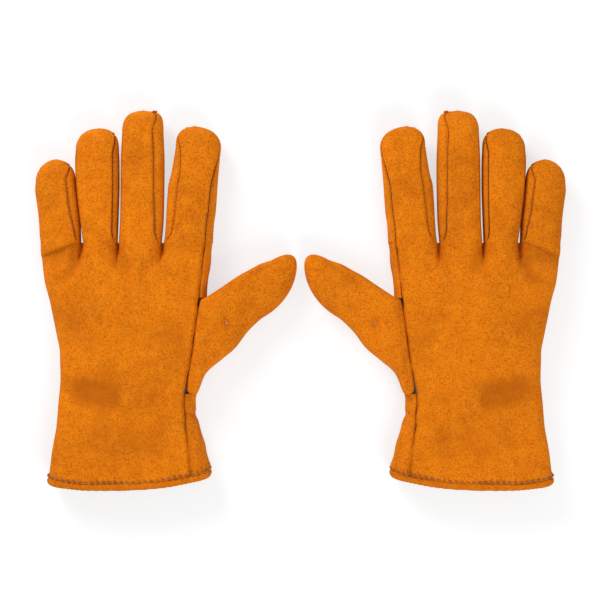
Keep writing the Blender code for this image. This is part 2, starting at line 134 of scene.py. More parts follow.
# Each finger: its edges against the distance from the knuckle line, the start of its rounded end, its
# tip, the roundness of the end, its half height, and the seams' insets on each side
FINGERS = {
    "little": {
        "little": [(0, -0.1), (15, -0.9), (28, -2.4), (40, -3.9), (46, -3.5)],
        "thumb": [(0, 29.6), (11, 29.3), (30, 27.4), (42, 26.0), (46, 25.5)],
        "tip": (11.6, 62.2), "round": (1.9, 2.3), "half": 10.8,
        "seams": (None, [(0, 1.5), (8, 3.0), (25, 5.2), (46, 5.4), (57, 0.6)]),
    },
    "ring": {
        "little": [(0, 31.7), (20, 28.8), (42, 26.4), (62, 25.4), (69, 26.0)],
        "thumb": [(0, 57.0), (20, 57.8), (45, 58.5), (62, 58.4), (69, 58.0)],
        "tip": (43.2, 85.3), "round": (2.2, 3.0), "half": 11.2,
        "seams": (
            [(0, 1.0), (70, 1.3), (80, 0.5)],
            [(0, 1.4), (10, 3.0), (62, 3.6), (80, 0.6)],
        ),
    },
    "middle": {
        "little": [(0, 58.3), (20, 59.3), (60, 59.7), (83, 60.8)],
        "thumb": [(0, 90.2), (20, 91.8), (60, 92.4), (83, 91.6)],
        "tip": (77.5, 98.6), "round": (2.5, 4.0), "half": 11.5,
        "seams": (
            [(0, 1.0), (80, 1.3), (94, 0.5)],
            [(0, 1.8), (10, 5.0), (40, 6.6), (82, 7.0), (95, 3.0)],
        ),
    },
    "index": {
        "little": [(0, 92.0), (6, 92.9), (33, 94.5), (43, 95.3), (52, 97.6), (65, 99.8), (72, 100.9)],
        "thumb": [(0, 128.8), (13, 129.5), (24, 131.0), (47, 132.6), (65, 134.2), (72, 134.8)],
        "tip": (115.6, 86.8), "round": (2.7, 2.0), "half": 11.5,
        "seams": (
            [(0, 2.0), (9, 5.8), (42, 7.6), (66, 5.0), (80, 0.8)],
            [(0, 5.0), (40, 4.4), (52, 2.6), (64, 0.6)],
        ),
    },
}


def section(side, half, power=2.6):
    """Height above the middle of a rounded section, at side from -1 to 1 across it."""
    return half * np.clip(1 - np.abs(side) ** power, 0, 1) ** (1 / power)


def finger_height(name, x, d):
    """Height of a finger's back over x and d, near its root, or 0 beside it."""
    sizes = FINGERS[name]
    low, high = curve(sizes["little"], d), curve(sizes["thumb"], d)
    side = (x - (low + high) / 2) / ((high - low) / 2)
    half = curve([(0, 11.6), (30, sizes["half"]), (60, sizes["half"])], d)
    return half + section(np.clip(side, -1, 1), half)


def hand_height(x, d, up=1):
    """Height of the hand's back (or with up -1 of its palm) over x and d."""
    low, high = curve(HAND_LITTLE, d), curve(HAND_THUMB, d)
    side = np.clip((x - (low + high) / 2) / ((high - low) / 2), -1, 1)
    half = curve(HAND_HALF, d)
    if up < 0:
        return half - section(side, half, 4.6)
    flat = half + section(side, half, 3.4)
    domes = np.max([finger_height(name, x, np.zeros_like(d)) for name in FINGERS], axis=0)
    return flat + (np.maximum(domes, 11.2) - flat) * smooth(-27, 0, d) ** 1.6


# ---------------------------------------------------------------- wrinkles
# Creases: the line, its width, how deep it is, and how far it is raised beside the valley
CREASES = [
    ([(28.9, -3), (27, -17), (21.5, -27), (9, -30)], 4.0, 1.7, 0.5),
    ([(55.7, -2), (61.5, -12), (69, -26.5)], 6.0, 1.5, 0.4),
    ([(91, -2), (87, -14), (80, -24)], 5.0, 1.1, 0.3),
    ([(22, -104), (38, -111), (52, -109)], 10.0, 3.0, 0.5),
    ([(51, -121), (62, -116)], 9.0, 1.3, 0.3),
    ([(78, -118), (90, -112)], 8.0, 1.5, 0.4),
    ([(16, -58), (30, -66), (44, -66)], 9.0, 1.0, 0.3),
    ([(94, -60), (103, -80), (104, -96)], 9.0, 1.1, 0.4),
    ([(30, -140), (60, -150), (96, -146)], 14.0, 0.9, 0.2),
    ([(112, -120), (116, -130), (114, -142)], 2.4, 1.6, 0.5),
    ([(40, 20), (52, 24)], 3.0, 0.7, 0.3), ([(34, 46), (46, 50)], 3.4, 0.6, 0.3),
    ([(66, 30), (82, 27)], 4.0, 0.7, 0.3), ([(64, 60), (80, 62)], 4.0, 0.6, 0.2),
    ([(102, 34), (118, 40)], 4.5, 0.7, 0.3), ([(2, 20), (14, 26)], 3.0, 0.7, 0.3),
    ([(137, -60), (141, -58)], 7.0, 2.0, 0.4), ([(131, -44), (131, -66)], 6.0, -1.4, 0.0),
    ([(146, -32), (177, -14)], 2.2, 1.3, 0.5), ([(172, -22), (187, -20)], 1.8, 0.9, 0.4),
    ([(152, -52), (166, -40)], 4.0, 0.8, 0.3), ([(126, -76), (134, -88)], 4.0, 0.9, 0.3),
]


def wrinkles(x, d):
    """How far the back stands out from its plain form over x and d."""
    out = np.zeros(np.shape(x))
    gap, where = along_line(x, d, [(1, -10), (10, -4), (17.5, 0), (27, 0)])
    below = np.clip(-(d - (-10 + 0.42 * np.clip(x, 0, 27))), 0, 60)
    out -= 2.1 * smooth(0, 1.6, below) * np.exp(-below / 9.0) * smooth(31, 24, x) * smooth(30, 16, gap)
    for line, width, depth, raised in CREASES:
        gap, where = along_line(x, d, line)
        fade = 0.25 + 0.75 * np.sin(np.pi * np.clip(where, 0.04, 0.96)) ** 0.6
        fade = fade * np.exp(-((gap / (3.2 * width)) ** 4))
        out -= depth * fade * np.exp(-((gap / width) ** 2))
        out += raised * fade * np.exp(-(((gap - 1.7 * width) / (0.7 * width)) ** 2))
    place = np.stack([x, d, np.zeros_like(x)], axis=-1)
    out += 0.8 * noise_at(place, 34, 3.1) + 0.38 * noise_at(place, 13, 7.7)
    return 1.3 * out + 0.14 * noise_at(place, 5, 1.3)


def crease_shade(x, d):
    """Painted shade in the creases: how much darker the leather is painted where the back dips in, deeper dips darker.
    """
    return 0.42 * np.clip(-wrinkles(x, d) - 0.4, 0, 2.6)


def seam_dip(gap, run, depth=1.2, width=0.9):
    """The leather by a seam: it turns under at the edge and puckers between the stitches."""
    dip = -depth * np.exp(-((gap / width) ** 2))
    swell = 0.42 * np.exp(-(((gap - 2.6) / 1.6) ** 2))
    pucker = 0.20 * np.sin(run * TAU / 3.3 + 1.7 * np.sin(run / 7.0)) * np.exp(-gap / 2.2)
    return dip + swell + pucker


# ---------------------------------------------------------------- pieces of leather and cloth
made = []


def surface_normals(grid, round_u=False):
    along = np.gradient(grid, axis=0)
    if round_u:
        across = (np.roll(grid, -1, 1) - np.roll(grid, 1, 1)) / 2
    else:
        across = np.gradient(grid, axis=1)
    n = np.cross(across, along)
    return n / np.maximum(np.linalg.norm(n, axis=-1, keepdims=True), 1e-9)


def pair_frame(points, side):
    out = np.empty_like(points)
    out[..., 0] = side * (GLOVE_X - points[..., 0])
    out[..., 1] = KNUCKLE_Y + points[..., 1]
    out[..., 2] = points[..., 2]
    return out * 0.001


def slab_mesh(name, grid, thick, outward, dust_and_shade, round_u=False):
    """A closed sheet: this grid, the same grid set back by the thickness, and the rims."""
    rows, cols = grid.shape[:2]
    normal = surface_normals(grid, round_u) * outward
    inner = grid - normal * thick
    verts = np.concatenate([grid.reshape(-1, 3), inner.reshape(-1, 3)])
    index = np.arange(rows * cols).reshape(rows, cols)
    if round_u:
        index = np.concatenate([index, index[:, :1]], axis=1)
    a, b = index[:-1, :-1].ravel(), index[:-1, 1:].ravel()
    c, e = index[1:, 1:].ravel(), index[1:, :-1].ravel()
    far = rows * cols
    faces = [np.stack([a, b, c, e], 1), np.stack([a, e, c, b], 1) + far]
    rims = [index[0], index[-1][::-1]]
    if not round_u:
        rims += [index[::-1, 0], index[:, -1]]
    for rim in rims:
        p, q = rim[:-1], rim[1:]
        faces.append(np.stack([q, p, p + far, q + far], 1))
    faces = np.concatenate(faces)
    if outward < 0:
        faces = faces[:, ::-1]
    return verts, faces, np.concatenate([dust_and_shade.ravel(), dust_and_shade.ravel()])


def add_piece(name, side, data, look, nodes, body, bend=None):
    verts, faces, dust_and_shade = data
    if side > 0:
        faces = faces[:, ::-1]
    mesh = bpy.data.meshes.new(name)
    mesh.from_pydata(pair_frame(verts, side).tolist(), [], faces.tolist())
    mesh.validate()
    # The seam attribute holds the darkening: dust and painted shade along the seams and the hem line, painted shade in
    # the creases.
    mesh.attributes.new("seam", "FLOAT", "POINT").data.foreach_set("value", dust_and_shade.astype(np.float32))
    mesh.shade_smooth()
    mesh.set_sharp_from_angle(angle=math.radians(62))
    mesh.materials.append(LOOKS[look])
    obj = bpy.data.objects.new(name, mesh)
    bpy.context.scene.collection.objects.link(obj)
    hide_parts(*nodes)
    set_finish(obj, look)
    if bend:
        start, end = (pair_frame(np.array([p], float), side)[0] for p in bend[1])
        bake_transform(obj)
    else:
        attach(obj, body)
    made.append(obj)
    return obj


def spread(start, end, step, extra=1):
    """Evenly spaced values from start to end, no more than a step apart."""
    count = max(3, int(math.ceil(abs(end - start) / step)) + extra)
    return np.linspace(start, end, count)


# ---------------------------------------------------------------- hand and cuff
def hand_grid(low, high, rows, step, at):
    """A grid over the hand between two edges, each given as an x for every row."""
    width = np.max(np.abs(high - low))
    rounding = np.linspace(0, 1, max(6, int(14 / step)))[:-1] ** 2.2 * 10 / width
    share = np.concatenate([rounding, np.linspace(10 / width, 1, int((width - 10) / step) + 1)])
    x = low[:, None] + (high - low)[:, None] * share[None, :]
    d = np.repeat(rows[:, None], len(share), 1)
    return x, d + at(x, d), share


def hem_shift(x, d):
    """Rows low on the cuff follow the hem's curve."""
    low = curve(HEM_LOW, x) + HEM_WIDTH
    return (low + 176.5) * smooth(-110, -176.5, d)


def hand_back_surface(x, d):
    z = hand_height(x, d) + wrinkles(x, d)
    return z - 0.9 * np.exp(-(((d - curve(HEM_LOW, x) - HEM_WIDTH) / 1.6) ** 2))


def make_hand(side, prefix):
    rows = spread(0.0, -176.5, FINE)
    seam = curve(HAND_THUMB, rows) - curve(HAND_SEAM, rows)
    edge = curve(HAND_LITTLE, rows)
    # the back runs round the little-finger edge, down to half height
    x, d, share = hand_grid(edge, seam, rows, FINE, hem_shift)
    z = hand_back_surface(x, d)
    gap = (1 - share)[None, :] * (seam - edge)[:, None]
    run = np.repeat(rows[:, None], len(share), 1)
    z = z + seam_dip(gap, run, 1.5)
    x = x + wobble(run, gap)
    # Painted darkening along the thumb-side seam and where the hem binding lies on the back: partly dust, partly
    # painted shade in these grooves. Painted shade in the creases is added.
    dust_and_shade = 0.6 * np.exp(-((gap / 1.2) ** 2)) + crease_shade(x, d) + 0.5 * np.exp(-(((d - curve(HEM_LOW, x) - 5) / 1.5) ** 2))
    grid = np.stack([x, d, z], -1)
    body = f"{prefix}_hand"
    add_piece(
        f"{prefix}_back_leather", side, slab_mesh("back", grid, LEATHER, -1, dust_and_shade), "leather",
        [f"{prefix}_hand_back"], body,
    )
    make_palm(side, prefix)
    make_hand_side(side, prefix)


def wobble(run, gap):
    """A seam never runs quite straight."""
    return (0.35 * np.sin(run / 5.3) + 0.25 * np.sin(run / 2.1 + 1.0)) * np.exp(-gap / 3.0)


def hidden_under(grid, depth):
    """Keeps a lining's points inside the leather of the back and the side."""
    x, d = grid[..., 0], grid[..., 1]
    near = [hand_back_surface(x + step, np.minimum(d, 0)) for step in (-4.0, -2.0, 0.0, 2.0, 4.0)]
    top = np.min(near, axis=0) - depth
    grid[..., 2] = np.minimum(grid[..., 2], np.maximum(top, 6.0))
    edge = curve(HAND_THUMB, d) - 5.0 - 0.62 * np.clip(grid[..., 2] - 11, 0, 14)
    grid[..., 0] = np.minimum(x, edge)
    return grid


def make_palm(side, prefix):
    rows = spread(0.0, -176.5, COARSE)
    edge = curve(HAND_LITTLE, rows)
    far = curve(HAND_THUMB, rows) - 1.6
    x, d, share = hand_grid(edge, far, rows, COARSE, hem_shift)
    z = hand_height(x, d, -1)
    half = curve(HAND_HALF, rows)
    z[:, 0] = half - 0.2
    z = np.maximum(z, 0.02)
    grid = np.stack([x, d, z], -1)
    # Darker along the thumb-side seam: partly dust, partly painted shade in the joint.
    dust_and_shade = np.exp(-(((1 - share)[None, :] * 120 / 2.0) ** 2)) + np.zeros_like(x)
    add_piece(
        f"{prefix}_palm_leather", side, slab_mesh("palm", grid, LEATHER, 1, dust_and_shade), "leather",
        [f"{prefix}_palm"], f"{prefix}_hand",
    )


def side_wall(rows, inset_high, inset_low=1.6, step=1.0):
    """The wall between the back's seam and the palm's seam on the thumb side, row by row."""
    outer = curve(HAND_THUMB, rows)
    top_x = outer - inset_high
    top_z = hand_height(top_x, rows) - 1.2
    count = max(8, int(26 / step))
    grid = []
    for t in np.linspace(0, 1, count):
        swing = math.sin(t * math.pi)
        x = top_x + (outer - inset_low - top_x) * t + (inset_high * 0.66) * swing * (1 - 0.2 * t)
        z = top_z + (0.9 - top_z) * (1 - math.cos(t * math.pi)) / 2
        grid.append(np.stack([np.minimum(x, outer), rows, z], -1))
    return np.stack(grid, 1)


def make_hand_side(side, prefix):
    for name, start, end, node in (
        ("index_side_leather", 0.0, -41.3, "hand_side_strip"),
        ("cuff_side_leather", -112.8, -176.5, "cuff_gusset"),
    ):
        rows = spread(start, end, FINE)
        grid = side_wall(rows, curve(HAND_SEAM, rows), step=FINE)
        grid[..., 1] += hem_shift(grid[..., 0], grid[..., 1])
        share = np.linspace(0, 1, grid.shape[1])[None, :]
        gap = share * 22
        run = grid[..., 1]
        grid[..., 2] += seam_dip(gap, run, 0.9)
        place = np.stack([grid[..., 1], grid[..., 2], grid[..., 0]], -1)
        grid[..., 0] += 0.5 * noise_at(place, 9, 4.0) * np.sin(share * np.pi)
        if node == "cuff_gusset":
            fold = np.exp(-(((grid[..., 1] + 130 - 0.15 * grid[..., 2]) / 3.2) ** 2))
            grid[..., 0] -= 1.7 * fold * np.sin(share * np.pi)
            grid[..., 2] -= 1.6 * fold * (1 - share)
        # Darker along the seam at the top: partly dust, partly painted shade in its groove.
        dust_and_shade = np.exp(-((gap / 1.6) ** 2)) * np.ones_like(run)
        add_piece(
            f"{prefix}_{name}", side, slab_mesh(name, grid, LEATHER, -1, dust_and_shade), "leather",
            [f"{prefix}_{node}"], f"{prefix}_hand",
        )


# ---------------------------------------------------------------- fingers
def finger_frame(name, depth=0.0, step=FINE):
    """Rows from the root to the tip: middle, half width, half height and forward reach of each."""
    sizes = FINGERS[name]
    start = sizes["little"][-1][0]
    tip_x, tip_d = sizes["tip"]
    straight = spread(0.0, start, step)
    low, high = curve(sizes["little"], straight), curve(sizes["thumb"], straight)
    half = curve([(0, 11.6), (30, sizes["half"]), (start, sizes["half"] * 0.97)], straight)
    rows = [((a + b) / 2, (b - a) / 2 - depth, h - depth, v) for a, b, h, v in zip(low, high, half, straight)]
    end_x, end_w, end_h = (low[-1] + high[-1]) / 2, (high[-1] - low[-1]) / 2, half[-1]
    reach = tip_d - start
    count = max(8, int(reach / step) + 4)
    for t in np.sin(np.linspace(0, math.pi / 2, count + 1))[1:]:
        t = min(t, 0.9995)
        left, right = ((1 - t**power) ** (1 / power) for power in sizes["round"])
        tall = math.sqrt(1 - t * t) ** 0.9
        x = end_x + (tip_x - end_x) * t**3
        a, b = x - (x - low[-1] - depth) * left, x + (high[-1] - depth - x) * right
        rows.append(((a + b) / 2, (b - a) / 2, (end_h - depth) * tall, start + (reach - depth) * t))
    return np.array(rows)


def finger_piece(name, frame_rows, angle_from, angle_to, count):
    """A grid round part of a finger. Angles go from 0 on the thumb side over the back to pi."""
    share = np.linspace(0, 1, count)
    angle = angle_from[:, None] + (angle_to - angle_from)[:, None] * share[None, :]
    cos, sin = np.cos(angle), np.sin(angle)
    power = 2 / 2.6
    x = frame_rows[:, :1] + frame_rows[:, 1:2] * np.sign(cos) * np.abs(cos) ** power
    flat = np.where(sin < 0, 2 / 4.2, power)
    mid = FINGERS[name]["half"] if name in FINGERS else 11.0
    mid = curve([(0, 11.6), (30, mid), (60, mid)], frame_rows[:, 3])[:, None]
    z = mid + frame_rows[:, 2:3] * np.sign(sin) * np.abs(sin) ** flat
    d = np.repeat(frame_rows[:, 3:4], count, 1)
    return np.stack([x, d, z], -1), angle, share


def inset_angle(frame_rows, inset, thumb_side):
    """The angle at which a seam lies this far in from a finger's edge."""
    side = np.clip(1 - inset / np.maximum(frame_rows[:, 1], 0.5), 0, 1)
    angle = np.arccos(np.clip(side ** 1.3, 0, 1))
    return angle if thumb_side else math.pi - angle


def strip_end(length, seam):
    """The last row that a finger's side strip reaches."""
    return int(np.argmax(curve(seam, length) <= 0.61)) or len(length) - 6


def front_edge(length, seam, high, low):
    """The front hide's edge: at the side strip, and up at the back hide beyond the strip's end."""
    beyond = np.arange(len(length)) > strip_end(length, seam)
    return np.where(beyond, high + math.copysign(0.02, low), low)


def make_finger(side, prefix, name):
    rows = finger_frame(name)
    little, thumb = FINGERS[name]["seams"]
    ones = np.ones(len(rows))
    length = rows[:, 3]
    high_thumb = inset_angle(rows, curve(thumb, length), True)
    high_little = inset_angle(rows, curve(little, length), False) if little else ones * math.pi
    body, hand = f"{prefix}_{name}_finger", f"{prefix}_hand"
    middle = float(rows[0, 0])
    bend = (body, ((middle, -0.5, 0), (middle, 24.0, 0)))
    around = max(20, int(34 / FINE))
    grid, angle, share = finger_piece(name, rows, high_thumb, high_little, around)
    n = surface_normals(grid)
    gap_t = (angle - high_thumb[:, None]) * np.maximum(rows[:, 1:2], 4)
    gap_l = (high_little[:, None] - angle) * np.maximum(rows[:, 1:2], 4)
    run = grid[..., 1] + rows[:, 1:2] * 0.3
    out = wrinkles(grid[..., 0], grid[..., 1]) * np.clip(np.sin(angle), 0, 1) ** 0.7
    out = out * smooth(0, 0.4, rows[:, 1:2] / rows[0, 1])
    fade = smooth(0.0, 6.0, grid[..., 1])
    fade_thumb = 1.0 if name == "index" else fade
    dip = seam_dip(gap_t, run, 1.2) * fade_thumb + seam_dip(gap_l, run, 0.9) * fade
    up = np.stack([np.zeros_like(out), np.zeros_like(out), out], -1)
    grid = grid + up + n * dip[..., None] * outward_of(grid)
    # Darker along both seams, partly dust and partly painted shade in the seam grooves. Painted shade in the creases
    # is added.
    dust_and_shade = np.maximum(np.exp(-((gap_t / 1.1) ** 2)) * fade_thumb, np.exp(-((gap_l / 1.1) ** 2)) * fade)
    dust_and_shade = 0.6 * dust_and_shade + crease_shade(grid[..., 0], grid[..., 1])
    add_piece(
        f"{prefix}_{name}_back_leather", side, slab_mesh(name, grid, LEATHER, outward_of(grid), dust_and_shade),
        "leather", [f"{prefix}_{name}_back"], hand, bend,
    )
    low_thumb = front_edge(length, thumb, high_thumb, -0.75)
    low_little = front_edge(length, little, high_little, math.pi + 0.75) if little else ones * math.pi
    grid, angle, _ = finger_piece(name, rows, low_little, low_thumb + TAU, around)
    grid[..., 2] = np.maximum(grid[..., 2], 0.02)
    add_piece(
        f"{prefix}_{name}_front_leather", side,
        slab_mesh(name, grid, LEATHER, outward_of(grid, -1), np.zeros(grid.shape[:2])),
        "leather", [f"{prefix}_{name}_front"], hand, bend,
    )
    for is_thumb, seam, node in ((True, thumb, "thumb_side_strip"), (False, little, "little_side_strip")):
        if not seam:
            continue
        last = strip_end(length, seam)
        part = rows[: last + 1].copy()
        part[:, 1] -= 0.12
        high = inset_angle(part, curve(seam, part[:, 3]), is_thumb)
        low = part[:, 0] * 0 + (-0.75 if is_thumb else math.pi + 0.75)
        grid, angle, share = finger_piece(name, part, high, low, max(8, int(22 / FINE)))
        gap = np.abs(angle - high[:, None]) * 10
        grid[..., 2] -= 0.9 * np.exp(-((gap / 1.3) ** 2))
        ridge = 0.5 * np.sin(grid[..., 1] * TAU / 3.4) * np.exp(-gap / 2.0)
        grid[..., 2] += ridge
        grid[..., 2] = np.maximum(grid[..., 2], 0.4)
        # Darker along the seam: partly dust, partly painted shade in its groove.
        dust_and_shade = np.exp(-((gap / 1.6) ** 2))
        word = "inner" if is_thumb else "outer"
        add_piece(
            f"{prefix}_{name}_{word}_strip", side,
            slab_mesh(name, grid, LEATHER, outward_of(grid, 1 if is_thumb else -1, axis=0), dust_and_shade),
            "strip", [f"{prefix}_{name}_{node}"], hand, bend,
        )
    make_finger_lining(side, prefix, name, bend)


def outward_of(grid, want=1, axis=2):
    """1 or -1, so that the grid's normal times it points the wanted way along an axis."""
    mean = surface_normals(grid)[..., axis].mean()
    return want * (1 if mean > 0 else -1)


def make_finger_lining(side, prefix, name, bend):
    rows = finger_frame(name, depth=2.4, step=COARSE)
    ones = np.ones(len(rows))
    grid, _, _ = finger_piece(name, rows, 0 * ones, TAU * ones, 41)
    grid = grid[:, :-1]
    data = slab_mesh(name, grid, 1.3, round_outward(grid), np.zeros(grid.shape[:2]), True)
    add_piece(
        f"{prefix}_{name}_fleece", side, data, "fleece", [f"{prefix}_{name}_lining"],
        f"{prefix}_hand", bend,
    )


def round_outward(grid):
    """1 if the closed grid's normals point away from its own middle, -1 if towards it."""
    middle = grid.mean(axis=1, keepdims=True)
    dot = (surface_normals(grid, True) * (grid - middle)).sum(-1).mean()
    return 1 if dot > 0 else -1


# ---------------------------------------------------------------- thumb
THUMB_UPPER = [
    (124.2, -40.6), (135.0, -33.5), (147.6, -24.9), (156.0, -20.3), (164.2, -15.8), (173.5, -12.6),
]
THUMB_LOWER = [
    (117.2, -112.5), (123.6, -98.0), (135.0, -87.8), (145.6, -78.8), (155.0, -66.5), (166.0, -56.2),
]
THUMB_TIP = (191.2, -22.5)
THUMB_HALF = (13.0, 12.6, 12.2, 11.8, 11.3, 10.8)


def thumb_rings(count, depth=0.0, step=FINE):
    """Rings from the thumb's mouth to its tip. Angle 0 is on the wrist side and pi on the finger side."""
    angle = np.linspace(0, TAU, count + 1)[:-1]
    cos, sin = np.cos(angle), np.sin(angle)
    share = (1 - cos) / 2
    d = -111.8 + (111.8 - 42.2) * share
    seam_x = curve(HAND_THUMB, d) - curve(HAND_SEAM, d)
    top = hand_height(seam_x, d) - 1.0
    low_x = curve(HAND_THUMB, d) - 1.2
    mix = (np.sign(sin) * np.abs(sin) ** 0.2 + 1) / 2
    mouth = np.stack([low_x + (seam_x - low_x) * mix, d, 1.0 + (top - 1.0) * mix], -1)
    keys = [mouth]
    square = (0.3, 0.55, 0.8, 0.8, 0.8, 0.8)
    for upper, lower, half, corner in zip(THUMB_UPPER, THUMB_LOWER, THUMB_HALF, square):
        u, w = np.array(upper), np.array(lower)
        s = np.sign(cos) * np.abs(cos) ** min(1.0, 0.5 + corner * 0.4)
        plan = (u + w)[None] / 2 + (w - u)[None] / 2 * s[:, None]
        tall = half * np.sign(sin) * np.abs(sin) ** np.where(sin < 0, 0.5, corner)
        keys.append(np.column_stack([plan, half + tall]))
    last = keys[-1]
    centre = last.mean(axis=0)
    axis = np.array([*THUMB_TIP, centre[2]]) - centre
    keys = np.array(keys)
    rings = [mouth]
    for i in range(len(keys) - 1):
        p0, p1, p2 = keys[max(i - 1, 0)], keys[i], keys[i + 1]
        p3 = keys[i + 2] if i + 2 < len(keys) else keys[-1] + axis * 0.45
        span = np.linalg.norm(p2 - p1, axis=-1).max()
        steps = max(2, int(span / step))
        for t in np.linspace(0, 1, steps + 1)[1:]:
            rings.append(
                0.5 * (2 * p1 + (p2 - p0) * t + (2 * p0 - 5 * p1 + 4 * p2 - p3) * t**2
                       + (3 * p1 - p0 - 3 * p2 + p3) * t**3)
            )
    reach = np.linalg.norm(axis)
    for t in np.sin(np.linspace(0, math.pi / 2, max(10, int(reach / step) + 4)))[1:]:
        t = min(t, 0.9995)
        wide = (1 - t**2.3) ** (1 / 2.3)
        tall = math.sqrt(1 - t * t) ** 0.9
        ring = centre + (last - centre) * np.array([wide, wide, tall]) + axis * t
        ring[:, 2] = centre[2] + (last[:, 2] - centre[2]) * tall
        rings.append(ring)
    rings = np.array(rings)
    if depth:
        n = surface_normals(rings, True) * round_outward(rings)
        rings = rings - n * depth
    rings[..., 2] = np.maximum(rings[..., 2], 0.02)
    return rings, angle


def make_thumb(side, prefix):
    count = 2 * max(24, int(60 / FINE))
    rings, angle = thumb_rings(count)
    half = count // 2
    back = rings[:, : half + 1].copy()
    x, d = back[..., 0], back[..., 1]
    lift = np.clip(np.sin(angle[: half + 1]), 0, 1)[None, :] ** 0.7
    from_mouth = np.linalg.norm(back - back[:1], axis=-1)
    back[..., 2] += wrinkles(x, d) * lift * smooth(-2, 8, from_mouth)
    size = np.linalg.norm(back[:, :1] - back[:, -1:], axis=-1)
    edge_gap = np.minimum(angle[: half + 1], math.pi - angle[: half + 1])[None, :] * size / 2
    back[..., 2] += seam_dip(from_mouth, d, 1.4) + 0.6 * seam_dip(edge_gap, x, 1.0)
    # Darker along the seams at the mouth and the edges, partly dust and partly painted shade in the grooves. Painted
    # shade in the creases is added.
    dust_and_shade = 0.55 * np.maximum(np.exp(-((from_mouth / 1.1) ** 2)), np.exp(-((edge_gap / 1.1) ** 2)))
    dust_and_shade = dust_and_shade + crease_shade(x, d)
    body = f"{prefix}_thumb"
    bend = (body, ((117.5, -77.0, 0), (133.0, -78.7, 0)))
    add_piece(
        f"{prefix}_thumb_back_leather", side, slab_mesh("t", back, LEATHER, outward_of(back), dust_and_shade),
        "leather", [f"{prefix}_thumb_back"], f"{prefix}_hand", bend,
    )
    front = np.concatenate([rings[:, half:], rings[:, :1]], axis=1)
    add_piece(
        f"{prefix}_thumb_front_leather", side,
        slab_mesh("t", front, LEATHER, outward_of(front, -1), np.zeros(front.shape[:2])),
        "leather", [f"{prefix}_thumb_front"], f"{prefix}_hand", bend,
    )
    inner, _ = thumb_rings(48, 2.4, COARSE)
    inner = inner[2:-2]
    add_piece(
        f"{prefix}_thumb_fleece", side,
        slab_mesh("t", inner, 1.3, round_outward(inner), np.zeros(inner.shape[:2]), True),
        "fleece", [f"{prefix}_thumb_lining"], f"{prefix}_hand", bend,
    )


# ---------------------------------------------------------------- linings, hem and thread
def hand_ring(d, depth, count=120):
    """Points all round the hand at one distance from the knuckle line, a depth under the leather."""
    low, high = float(curve(HAND_LITTLE, d)), float(curve(HAND_THUMB, d))
    half = float(curve(HAND_HALF, d))
    angle = np.linspace(0, TAU, count + 1)[:-1]
    cos, sin = np.cos(angle), np.sin(angle)
    wide = (high - low) / 2 - depth
    x = (low + high) / 2 + wide * np.sign(cos) * np.abs(cos) ** (2 / 3.4)
    z = half + (half - depth) * np.sign(sin) * np.abs(sin) ** np.where(sin < 0, 2 / 4.6, 2 / 3.4)
    return np.stack([x, np.full(count, float(d)), z], -1)


def make_linings(side, prefix):
    for name, look, start, end, node in (
        ("hand_fleece", "fleece", -10.0, -114.0, "hand_lining"),
        ("cuff_canvas", "canvas", -114.4, -178.0, "cuff_lining"),
    ):
        grid = np.array([hand_ring(d, 3.0) for d in spread(start, end, COARSE)])
        grid[..., 1] += hem_shift(grid[..., 0], grid[..., 1])
        grid = hidden_under(grid, 3.2)
        data = slab_mesh(name, grid, 1.2, round_outward(grid), np.zeros(grid.shape[:2]), True)
        add_piece(f"{prefix}_{name}", side, data, look, [f"{prefix}_{node}"], f"{prefix}_hand")


def hem_line(count, out=0.0, drop=0.0):
    """Points round the cuff just above the hem, moved out and down from it."""
    ring = hand_ring(-176.5, -out, count)
    ring[..., 1] = curve(HEM_LOW, ring[..., 0]) + HEM_WIDTH - drop
    ring[..., 2] = np.maximum(ring[..., 2], 0.05)
    return ring


def make_hem(side, prefix):
    """The folded edge strip: a flat tube of leather over the cuff's raw edges."""
    count = 2 * int(300 / (2 * FINE))
    turns = np.linspace(0, TAU, 15)[:-1]
    grid = []
    for turn in turns:
        out = 0.4 - 2.0 + 2.1 * math.cos(turn)
        drop = HEM_WIDTH / 2 - (HEM_WIDTH / 2 + 0.2) * math.sin(turn)
        grid.append(hem_line(count, out, drop))
    grid = np.array(grid).transpose(1, 0, 2)
    run = np.arange(count) * 300 / count
    puff = 0.28 * np.sin(run * TAU / 4.4)[:, None] + 0.3 * np.sin(run / 9.0)[:, None]
    centre = grid.mean(axis=1, keepdims=True)
    arm = grid - centre
    grid = grid + arm / np.linalg.norm(arm, axis=-1, keepdims=True) * puff[..., None] * 0.6
    grid[..., 2] = np.maximum(grid[..., 2], 0.03)
    # The binding is darker all over, and darkest along its folded outer edge.
    dust_and_shade = 0.35 + 0.5 * np.clip(-np.sin(turns), 0, 1)[None, :] ** 3 + 0 * grid[..., 0]
    rows, cols = grid.shape[:2]
    index = np.arange(rows * cols).reshape(rows, cols)
    a, b = index, np.roll(index, -1, 1)
    c, e = np.roll(b, -1, 0), np.roll(index, -1, 0)
    faces = np.stack([a.ravel(), b.ravel(), c.ravel(), e.ravel()], 1)
    if closed_volume(grid.reshape(-1, 3), faces) < 0:
        faces = faces[:, ::-1]
    add_piece(
        f"{prefix}_hem_leather", side, (grid.reshape(-1, 3), faces, dust_and_shade.ravel()), "leather",
        [f"{prefix}_cuff_hem"], f"{prefix}_hand",
    )


def closed_volume(verts, faces):
    """Six times the signed volume that a mesh of four-sided faces closes, positive if they face out."""
    a, b, c, e = (verts[faces[:, i]] for i in range(4))
    return (np.cross(a, b) * c).sum() + (np.cross(a, c) * e).sum()


